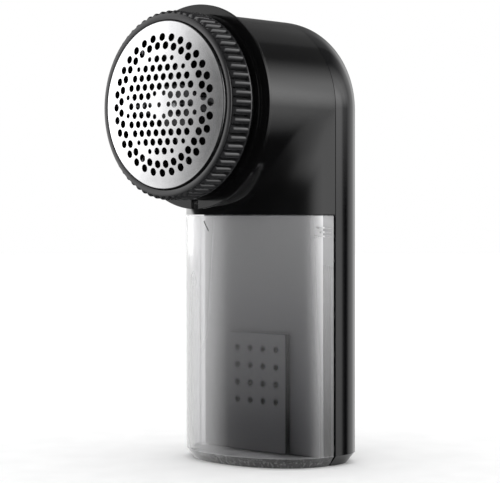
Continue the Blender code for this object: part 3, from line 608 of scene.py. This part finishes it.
def cut_openings(cover):
    """Cuts the screw holes, the slider's pocket and slot, the lamp's hole and the socket's opening."""
    cuts = bmesh.new()
    thread_r, head_r = 1.5, 2.7
    thread_y, seat_y = 15.0, 27.0
    bore = [(0, thread_y), (thread_r, thread_y), (thread_r, seat_y), (head_r, seat_y)]
    bore += [(head_r, OUTSIDE), (0, OUTSIDE)]
    for x, z in screw_places():
        spun(cuts, bore, 40, (x, 0, z))
    travel = travel_mm("power_slide")
    slider_z = (SLIDER_LOW.z + SLIDER_HIGH.z) / 2 + travel / 2
    wall_front, pocket_floor, slot_back = 28.0, 32.6, 36.0
    pocket = rounded_rectangle(6.0, 7.3 + travel / 2, 2.5, (0.0, slider_z))
    prism(cuts, pocket, pocket_floor, OUTSIDE)
    lamp_hole = circle(1.5, 40, (0.0, (LENS_LOW.z + LENS_HIGH.z) / 2))
    prism(cuts, lamp_hole, wall_front, OUTSIDE)
    opening = rounded_rectangle(4.9, 2.0, 1.4, (0.0, (SOCKET_LOW.y + SOCKET_HIGH.y) / 2))
    prism(cuts, opening, -5.0, 4.0, "Z")
    combine(cover, cuts)
    slot = rounded_rectangle(1.9, 5.4, 0.6, (0.0, slider_z), 4)
    combine(cover, prism(bmesh.new(), slot, wall_front, slot_back))


def make_rear_cover():
    """Full-height back shell with its four screw posts and its openings."""
    mesh = bmesh.new()
    shells = (
        (rear_profile(0.0), rear_profile(BASE_CHAMFER), 0.0),
        (rear_profile(WALL), rear_profile(WALL + 1.0), WALL),
    )
    skins = [
        [[mesh.verts.new(p) for p in column] for column in arch_path(plan, floor, foot)]
        for plan, foot, floor in shells
    ]
    for columns in skins:
        for near, far in zip(columns, columns[1:]):
            for i in range(len(near) - 1):
                mesh.faces.new((near[i], near[i + 1], far[i + 1], far[i]))
        right = [column[0] for column in columns]
        left = [column[-1] for column in columns[:-1]]
        mesh.faces.new(right + left[::-1])
    bands(mesh, [skins[0][0], skins[1][0]])
    cover = new_piece("back_shell", mesh, "satin_black", "handle", ["rear_cover"], 0.25)

    posts = bmesh.new()
    radius, front, back = 3.9, 20.0, 32.2
    for x, z in screw_places():
        spun(posts, [(0, front), (radius, front), (radius, back), (0, back)], 40, (x, 0, z))
    combine(cover, posts, "UNION")
    cut_openings(cover)


def container_plan(inset, side_inset, steps=60):
    """Plan of the container from its right rear edge round the front to its left rear edge."""
    right = [(half_width(y, inset + side_inset), y) for y in (BUCKET_HIGH.y, RAIL_Y + 2.4, RAIL_Y)]
    start = oval_turn(RAIL_Y - 0.05, inset)
    for i in range(steps + 1):
        right.append(oval_point(start + (-pi / 2 - start) * i / steps, inset))
    right[-1] = (0.0, FRONT_Y + inset)
    return right + [(-x, y) for x, y in right[-2::-1]]


def make_container():
    """Clear bucket, open at the top and at the back, with three grip ribs near the top of each side."""
    top = BUCKET_HIGH.z
    rows = (
        (container_plan(BASE_CHAMFER, 0.0), 0.0),
        (container_plan(0.0, RAIL_STEP), RIM_Z),
        (container_plan(0.0, RAIL_STEP), top),
        (container_plan(CLEAR_WALL, RAIL_STEP), top),
        (container_plan(CLEAR_WALL, RAIL_STEP), CLEAR_FLOOR),
    )
    mesh = bmesh.new()
    grid = [[mesh.verts.new((x, y, z)) for x, y in plan] for plan, z in rows]
    for low, high in zip(grid, grid[1:]):
        for i in range(len(low) - 1):
            mesh.faces.new((low[i], low[i + 1], high[i + 1], high[i]))
    for end in (0, -1):
        mesh.faces.new([row[end] for row in grid])
    mesh.faces.new(grid[0])
    mesh.faces.new(grid[-1][::-1])
    mesh.faces.new((grid[0][0], grid[0][-1], grid[-1][-1], grid[-1][0]))
    container = new_piece("clear_bucket", mesh, "smoked_clear", "container", ["lint_container"], 0.18)

    ribs = bmesh.new()
    inner, back, half = 28.2, 11.4, 0.26
    for side in (-1, 1):
        left, right = sorted((side * inner, side * BUCKET_HIGH.x))
        for front, z in ((5.6, 77.7), (6.6, 76.3), (4.6, 74.9)):
            boxed(ribs, (left, front, z - half), (right, back, z + half))
    combine(container, ribs, "UNION")


def make_index_mark():
    """Short slanted line on the container's front, near its top."""
    start, end = Vector((-7.7, 79.8)), Vector((-5.3, 76.6))
    across = Vector((0.17, 0.13))
    raised, sunk = 0.06, 0.12
    reach, power = oval_half(True)
    mesh = bmesh.new()
    corners = []
    for spot in (start - across, start + across, end + across, end - across):
        front = WIDEST_Y - reach * (1 - (abs(spot.x) / BODY_R) ** power) ** (1 / power)
        corners.append([mesh.verts.new((spot.x, front + deep, spot.y)) for deep in (-raised, sunk)])
    mesh.faces.new([pair[0] for pair in corners])
    mesh.faces.new([pair[1] for pair in corners[::-1]])
    for one, other in zip(corners, corners[1:] + corners[:1]):
        mesh.faces.new((one[0], one[1], other[1], other[0]))
    new_piece("index_mark", mesh, "ring_black", "container", [])


def make_vent_panel():
    """Raised block with four rows of four holes. It reaches lower than its CAD node does."""
    foot, top = 2.8, PANEL_HIGH.z
    outline = rounded_rectangle(PANEL_HIGH.x, (top - foot) / 2, 0.8, (0.0, (foot + top) / 2), 5)
    mesh = prism(bmesh.new(), outline, PANEL_LOW.y, PANEL_HIGH.y)
    panel = new_piece("vent_grille", mesh, "handle_grey", "handle", ["vent_panel"], 0.6)
    holes = bmesh.new()
    pitch, middle_z, hole_r = 5.8, 28.5, 0.8
    for row in range(4):
        for column in range(4):
            middle = (pitch * (column - 1.5), middle_z + pitch * (row - 1.5))
            prism(holes, circle(hole_r, 24, middle), PANEL_LOW.y - 2, PANEL_HIGH.y + 2)
    combine(panel, holes)


# ---------------------------------------------------------------- the cutting head

def foil_holes():
    """(x, z, radius) of the foil's holes: two outer rings, an inner lattice and a few small holes."""
    holes = []
    for radius, offset in HOLE_RINGS:
        for i in range(HOLES_PER_RING):
            turn = 2 * pi * (i + offset) / HOLES_PER_RING
            holes.append((radius * cos(turn), radius * sin(turn), RING_HOLE_R))
    for row in range(-5, 6):
        for column in range(-6, 7):
            shell = column * column + column * row + row * row
            x, z = HOLE_PITCH * (column + row / 2), HOLE_PITCH * row * sqrt(0.75)
            if 3 <= shell <= 19:
                holes.append((x, z, HOLE_R))
            elif shell in (0, 21):
                holes.append((x, z, SMALL_HOLE_R))
    inner_r = 1.25 * HOLE_PITCH
    for i in range(6):
        turn = pi / 3 * i
        holes.append((inner_r * cos(turn), inner_r * sin(turn), SMALL_HOLE_R))
    return holes


def punched_disc(radius, holes, rim_steps, spacing=1.3):
    """(points, triangles) of a flat disc with round holes, evenly filled so that it can be domed."""
    clearance = 0.5
    points = circle(radius, rim_steps)
    loops = [list(range(rim_steps))]
    for x, z, size in holes:
        steps = 20 if size == SMALL_HOLE_R else 24
        first = len(points)
        points += circle(size, steps, (x, z))
        loops.append(list(range(first, first + steps)))
    rows = int(radius / spacing) + 1
    for row in range(-rows, rows + 1):
        for column in range(-rows, rows + 1):
            x, z = spacing * (column + (row % 2) / 2), spacing * row * sqrt(0.75)
            clear = all(hypot(x - hx, z - hz) > size + clearance for hx, hz, size in holes)
            if clear and hypot(x, z) < radius - clearance:
                points.append((x, z))
    edges = [(loop[i - 1], loop[i]) for loop in loops for i in range(len(loop))]
    found = delaunay_2d_cdt([Vector(p) for p in points], edges, [], 0, 1e-5)
    corners, triangles = found[0], found[2]
    kept = []
    for triangle in triangles:
        x = sum(corners[i].x for i in triangle) / 3
        z = sum(corners[i].y for i in triangle) / 3
        if all(hypot(x - hx, z - hz) > size * 0.97 for hx, hz, size in holes):
            kept.append(triangle)
    return corners, kept


def make_foil():
    """Pressed steel cup: a slightly domed, punched face, a round edge, a wall and a turned-out rim."""
    edge, edge_steps, steps = 0.4, 6, 192
    face_r = FOIL_R - edge
    corners, triangles = punched_disc(face_r, foil_holes(), steps)
    mesh = bmesh.new()
    verts = []
    for corner in corners:
        y = FOIL_LOW.y + FOIL_DOME * (corner.length / face_r) ** 2
        verts.append(mesh.verts.new((corner.x, y, HEAD_Z + corner.y)))
    for triangle in triangles:
        mesh.faces.new([verts[i] for i in triangle])
    profile = []
    for i in range(edge_steps + 1):
        turn = pi / 2 * i / edge_steps
        profile.append((face_r + edge * sin(turn), FOIL_LOW.y + FOIL_DOME + edge * (1 - cos(turn))))
    profile += [
        (FOIL_R, FOIL_WALL_END - 0.7), (FOIL_R + 0.12, FOIL_WALL_END - 0.25),
        (FOIL_R + 0.35, FOIL_WALL_END - 0.02), (FOIL_HIGH.x, FOIL_WALL_END),
    ]
    bands(mesh, [[mesh.verts.new((x, y, HEAD_Z + z)) for x, z in circle(r, steps)] for r, y in profile])
    bmesh.ops.remove_doubles(mesh, verts=mesh.verts, dist=1e-3)
    foil = new_piece("shaving_foil", mesh, "foil_steel", "foil_cap", ["foil"])
    add_thickness(foil, FOIL_SHEET)
    settle(foil)


def rib_height(part, foot=0.9):
    """Height of the round-backed ribs, 0 in the valley and 1 on top, at that part of one rib's pitch."""
    away = abs(part - 0.5) * 2
    return sqrt(max(1.0 - (away / foot) ** 2, 0.0))


def ring_rows():
    """(radius in the valleys, radius on the ribs, depth) round the ring's section, from its bore forward."""
    front, back = RING_LOW.y + 0.6, RING_HIGH.y
    bore, face_r, root, rear_bore = 26.9, 28.9, 28.4, 27.6
    groove, step_y = root - 0.3, -28.5
    face = [
        (bore, front + 0.15), (bore + 0.05, front + 0.04), (bore + 0.15, front), (face_r - 0.2, front),
        (face_r - 0.06, front + 0.06), (face_r, front + 0.2), (face_r, front + 0.36), (groove, front + 0.4),
        (groove, front + 0.62),
    ]
    ends = front + 0.62
    ribs = [
        (root - 0.2, root + 0.6, ends + 0.02), (root, root + 1.0, ends + 0.12),
        (root, root + 1.3, ends + 0.34), (root, RING_R - 0.08, ends + 0.66), (root, RING_R, ends + 0.95),
        (root, RING_R, back - 0.9), (root + 0.1, RING_R, back - 0.75),
        (RING_R - 0.12, RING_R - 0.02, back - 0.66),
    ]
    rear = [
        (RING_R, back - 0.5), (RING_R, back - 0.15), (RING_R - 0.05, back - 0.05), (RING_R - 0.15, back),
        (rear_bore, back), (rear_bore, step_y), (bore, step_y),
    ]
    return [(r, r, y) for r, y in face] + ribs + [(r, r, y) for r, y in rear]


def make_ring(per_rib=16):
    """Twist ring: a flat front face, a groove, ribs with sloping front ends and a plain rear rim."""
    count = RIB_COUNT * per_rib
    mesh = bmesh.new()
    grid = []
    for low, high, y in ring_rows():
        row = []
        for i in range(count):
            r = low + (high - low) * rib_height((i % per_rib) / per_rib)
            turn = 2 * pi * (i - per_rib / 2) / count
            row.append(mesh.verts.new((r * cos(turn), y, HEAD_Z + r * sin(turn))))
        grid.append(row)
    bands(mesh, grid + grid[:1])
    new_piece("ribbed_ring", mesh, "ring_black", "twist_ring", ["foil_ring"], sharp=38.0)


def make_flange():
    """Fixed collar that the ring turns on, with the index notch at its lowest point."""
    front, back, rim = FLANGE_LOW.y, FLANGE_HIGH.y, FLANGE_HIGH.x
    bore, seat_r, step_r = 24.5, 27.3, 29.6
    seat_y, step_y = -22.6, -21.2
    profile = [
        (bore, front), (seat_r, front), (seat_r, seat_y), (step_r, seat_y), (step_r, step_y), (rim, step_y),
        (rim, back), (bore, back),
    ]
    mesh = spun(bmesh.new(), profile, 180, (0, 0, HEAD_Z))
    flange = new_piece("head_collar", mesh, "gloss_black", "handle", ["head_flange"], 0.2)
    notch_low, notch_high = (-1.5, -24.0, HEAD_Z - 34.0), (1.5, -18.0, HEAD_Z - 29.9)
    combine(flange, boxed(bmesh.new(), notch_low, notch_high))


def make_spring():
    """Compression spring between the hub and the fan, at the length of its CAD node; in the shaver it shortens as
    the blades are pressed in.
    """
    low, high = box_mm("cutter_spring")
    wire, coils, per_coil, around = 0.35, 3.5, 36, 10
    mean_r = high.x - wire
    length = high.y - low.y
    count = int(coils * per_coil) + 1
    mesh = bmesh.new()
    rings = []
    for i in range(count):
        turn = 2 * pi * i / per_coil
        y = low.y + wire + (length - 2 * wire) * i / (count - 1)
        section = circle(wire, around, (mean_r, y))
        points = [(r * cos(turn), along, HEAD_Z + r * sin(turn)) for r, along in section]
        rings.append([mesh.verts.new(point) for point in points])
    bands(mesh, rings)
    mesh.faces.new(rings[0])
    mesh.faces.new(rings[-1][::-1])
    spring = new_piece("press_spring", mesh, "plated_steel", "rotor", ["cutter_spring"])
    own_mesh(spring)


# ---------------------------------------------------------------- carried-over CAD nodes

SOFTENED = (
    "power_slider", "chassis", "lint_chute", "cutter_hub", "switch_body", "charging_socket", "motor_can",
)


def dress_cad_nodes():
    """Gives every CAD node the finish of its slot, and rounds the edges of those that show them."""
    for part in frame["record"]["subparts"]:
        obj = frame["nodes"][part["node"]]
        obj.data.materials.clear()
        obj.data.materials.append(MATERIALS[part["material_slot"]])
        if part["node"] in SOFTENED:
            weld = obj.modifiers.new("weld", "WELD")
            weld.merge_threshold = 0.002 * MM
            round_edges(obj, 0.15, 2, SHARP)


# ---------------------------------------------------------------- studio

def make_floor():
    """Pale floor. The gloss shows only the disc round the foot, and only to what is close above it."""
    made, shader = new_material("floor_paint", (0.85, 0.85, 0.85), 0.9)
    close, foot_r, floor_r, drop, steps = 0.04, 46.0, 3000.0, -0.05, 96
    path = add_node(made, "ShaderNodeLightPath")
    in_gloss = arithmetic(made, "GREATER_THAN", path.outputs["Glossy Depth"], 0.5)
    through_clear = arithmetic(made, "GREATER_THAN", path.outputs["Transmission Depth"], 0.5)
    distant = arithmetic(made, "GREATER_THAN", path.outputs["Ray Length"], close)
    hidden = arithmetic(made, "MULTIPLY", in_gloss, arithmetic(made, "MAXIMUM", through_clear, distant))
    level = arithmetic(made, "SUBTRACT", spread(made, noise(made, 60.0, 2.0), 0.96, 1.0), hidden)
    tint(made, shader, level, (0.0, 0.0, 0.0), (0.95, 0.95, 0.95))

    def rim(mesh, radius):
        return [mesh.verts.new((x, y, drop)) for x, y in circle(radius, steps)]

    near, far = bmesh.new(), bmesh.new()
    near.faces.new(rim(near, foot_r))
    bands(far, [rim(far, floor_r), rim(far, foot_r)])
    for name, mesh in (("floor_near", near), ("floor_far", far)):
        floor = object_from(name, mesh)
        floor.data.materials.append(made)
        floor.visible_glossy = name == "floor_near"


# The panels that the gloss reflects. Each has (azimuth in degrees from -Y towards +X, brightness) round
# it and (elevation in degrees, share of that brightness) up it, and runs straight between its entries.
RIGHT_PANEL = (
    (-180, 0.0), (60, 0.03), (72, 0.1), (79, 0.25), (85, 0.6), (90, 1.0), (98, 1.55), (108, 1.85),
    (116, 1.75), (128, 1.55), (136, 1.3), (139.5, 1.25), (142, 0.15), (144, 0.0),
)
RIGHT_HEIGHT = (
    (-90, 0.0), (-42, 0.02), (-32, 0.07), (-26, 0.2), (-20, 0.4), (-14, 0.55), (-8, 0.75), (-2, 1.0),
    (22, 1.0), (36, 0.3), (42, 0.05), (90, 0.0),
)
# Above the right panel and a little behind it.
SOFTBOX = ((-180, 0.0), (116, 0.0), (130, 0.6), (136, 1.3), (146, 1.5), (152, 0.8), (158, 0.0))
SOFTBOX_HEIGHT = ((-90, 0.0), (1, 0.0), (8, 0.9), (13, 1.3), (22, 1.25), (30, 0.8), (36, 0.4), (44, 0.0))
BACK_PANEL = (
    (-180, 1.2), (-170, 1.2), (-160, 0.8), (-152, 0.2), (-146, 0.0), (149, 0.0), (153, 0.4), (157, 0.75),
    (163, 0.95), (170, 1.05),
)
BACK_HEIGHT = ((-90, 0.0), (-20, 0.0), (-9, 1.0), (12, 1.0), (22, 1.0), (30, 0.5), (38, 0.12), (46, 0.08))
STRIP = (
    (-180, 0.0), (-146, 0.0), (-138, 0.9), (-116, 1.1), (-104, 1.9), (-92, 2.6), (-84, 2.2), (-76, 1.4),
    (-66, 0.5), (-54, 0.0),
)
STRIP_HEIGHT = ((-90, 0.0), (-14, 0.0), (-8, 1.0), (7, 1.0), (12, 0.0))
FRONT_PANEL = (
    (-180, 0.15), (-140, 0.15), (-80, 0.2), (-68, 1.3), (-60, 1.6), (-50, 1.5), (-44, 1.0), (-40, 0.74),
    (-36, 0.42), (-31, 0.17), (-26, 0.085), (-16, 0.03), (60, 0.0),
)
FRONT_HEIGHT = (
    (-90, 0.0), (-50, 0.02), (-36, 0.06), (-28, 0.1), (-20, 0.2), (-13, 0.45), (-6, 0.85), (0, 1.0),
    (30, 1.0), (44, 0.6), (60, 0.1),
)
PANELS = (
    (RIGHT_PANEL, RIGHT_HEIGHT), (SOFTBOX, SOFTBOX_HEIGHT), (BACK_PANEL, BACK_HEIGHT),
    (STRIP, STRIP_HEIGHT), (FRONT_PANEL, FRONT_HEIGHT),
)
PEAK = 3.0                                    # brightness that a ramp's white stands for


def ramp(made, value, stops, low, high):
    """Looks the angle up in the (degrees, level) stops, which lie between low and high degrees."""
    node = add_node(made, "ShaderNodeValToRGB")
    elements = node.color_ramp.elements
    while len(elements) < len(stops):
        elements.new(0.5)
    for element, (at, _) in zip(elements, stops):
        element.position = (at - low) / (high - low)
    for element, (_, level) in zip(elements, stops):
        element.color = (*[level / PEAK] * 3, 1.0)
    link(made, spread(made, value, 0.0, 1.0, radians(low), radians(high)), node.inputs["Fac"])
    return node.outputs["Color"]


def make_world():
    """White backdrop, an even fill light that is stronger from above, and the panels for gloss."""
    world = bpy.data.worlds.new("studio")
    bpy.context.scene.world = world
    world.use_nodes = True
    world.cycles.sampling_method = "NONE"
    back = world.node_tree.nodes["Background"]
    back.inputs["Color"].default_value = (1.0, 1.0, 1.0, 1.0)
    x, y, z = axes(world, "Generated")
    azimuth = arithmetic(world, "ARCTAN2", x, arithmetic(world, "MULTIPLY", y, -1.0))
    elevation = arithmetic(world, "ARCSINE", z)
    panels = 0.0
    for around, height in PANELS:
        shape = ramp(world, azimuth, around, -180, 180), ramp(world, elevation, height, -90, 90)
        level = arithmetic(world, "MULTIPLY", *shape)
        panels = arithmetic(world, "MULTIPLY_ADD", level, PEAK * PEAK, panels)
    fill = arithmetic(world, "MULTIPLY_ADD", z, 0.25, 1.05)
    path = add_node(world, "ShaderNodeLightPath")
    in_gloss = arithmetic(world, "GREATER_THAN", path.outputs["Glossy Depth"], 0.5)
    in_fill = arithmetic(world, "GREATER_THAN", path.outputs["Diffuse Depth"], 0.5)

    def choose(which, if_true, if_false):
        mix = add_node(world, "ShaderNodeMix")
        link(world, which, mix.inputs["Factor"])
        for socket, value in zip(mix.inputs[2:4], (if_false, if_true)):
            if isinstance(value, float):
                socket.default_value = value
            else:
                link(world, value, socket)
        return mix.outputs["Result"]

    level = choose(in_fill, fill, choose(in_gloss, panels, 1.0))
    link(world, level, back.inputs["Strength"])


def make_camera():
    """Nearly level with the container's upper edge, from the front right."""
    distance, azimuth = 565.2, radians(43.99)
    yaw, pitch, roll = radians(0.617), radians(0.893), radians(-0.036)
    aim = Vector((0.0, -4.2, SEAM_Z))
    back = Vector((sin(azimuth), -cos(azimuth), 0.0))
    right = Vector((cos(azimuth), sin(azimuth), 0.0))
    up = Vector((0.0, 0.0, 1.0))
    forward = -back * cos(yaw) + right * sin(yaw)
    right = right * cos(yaw) + back * sin(yaw)
    ahead = forward * cos(pitch) - up * sin(pitch)
    upward = up * cos(pitch) + forward * sin(pitch)
    side = right * cos(roll) + upward * sin(roll)
    upward = upward * cos(roll) - right * sin(roll)
    data = bpy.data.cameras.new("camera")
    data.sensor_width = 36.0
    data.lens = 123.77
    camera = bpy.data.objects.new("camera", data)
    turn = Matrix((side, upward, -ahead)).transposed()
    camera.matrix_world = Matrix.Translation((aim + back * distance) * MM) @ turn.to_4x4()
    bpy.context.scene.collection.objects.link(camera)
    bpy.context.scene.camera = camera


# ---------------------------------------------------------------- the shaver

dress_cad_nodes()
make_front_housing()
make_rear_cover()
make_container()
make_index_mark()
make_vent_panel()
make_foil()
make_ring()
make_flange()
make_spring()
make_floor()
make_world()
make_camera()
bpy.context.scene.view_settings.view_transform = "Standard"
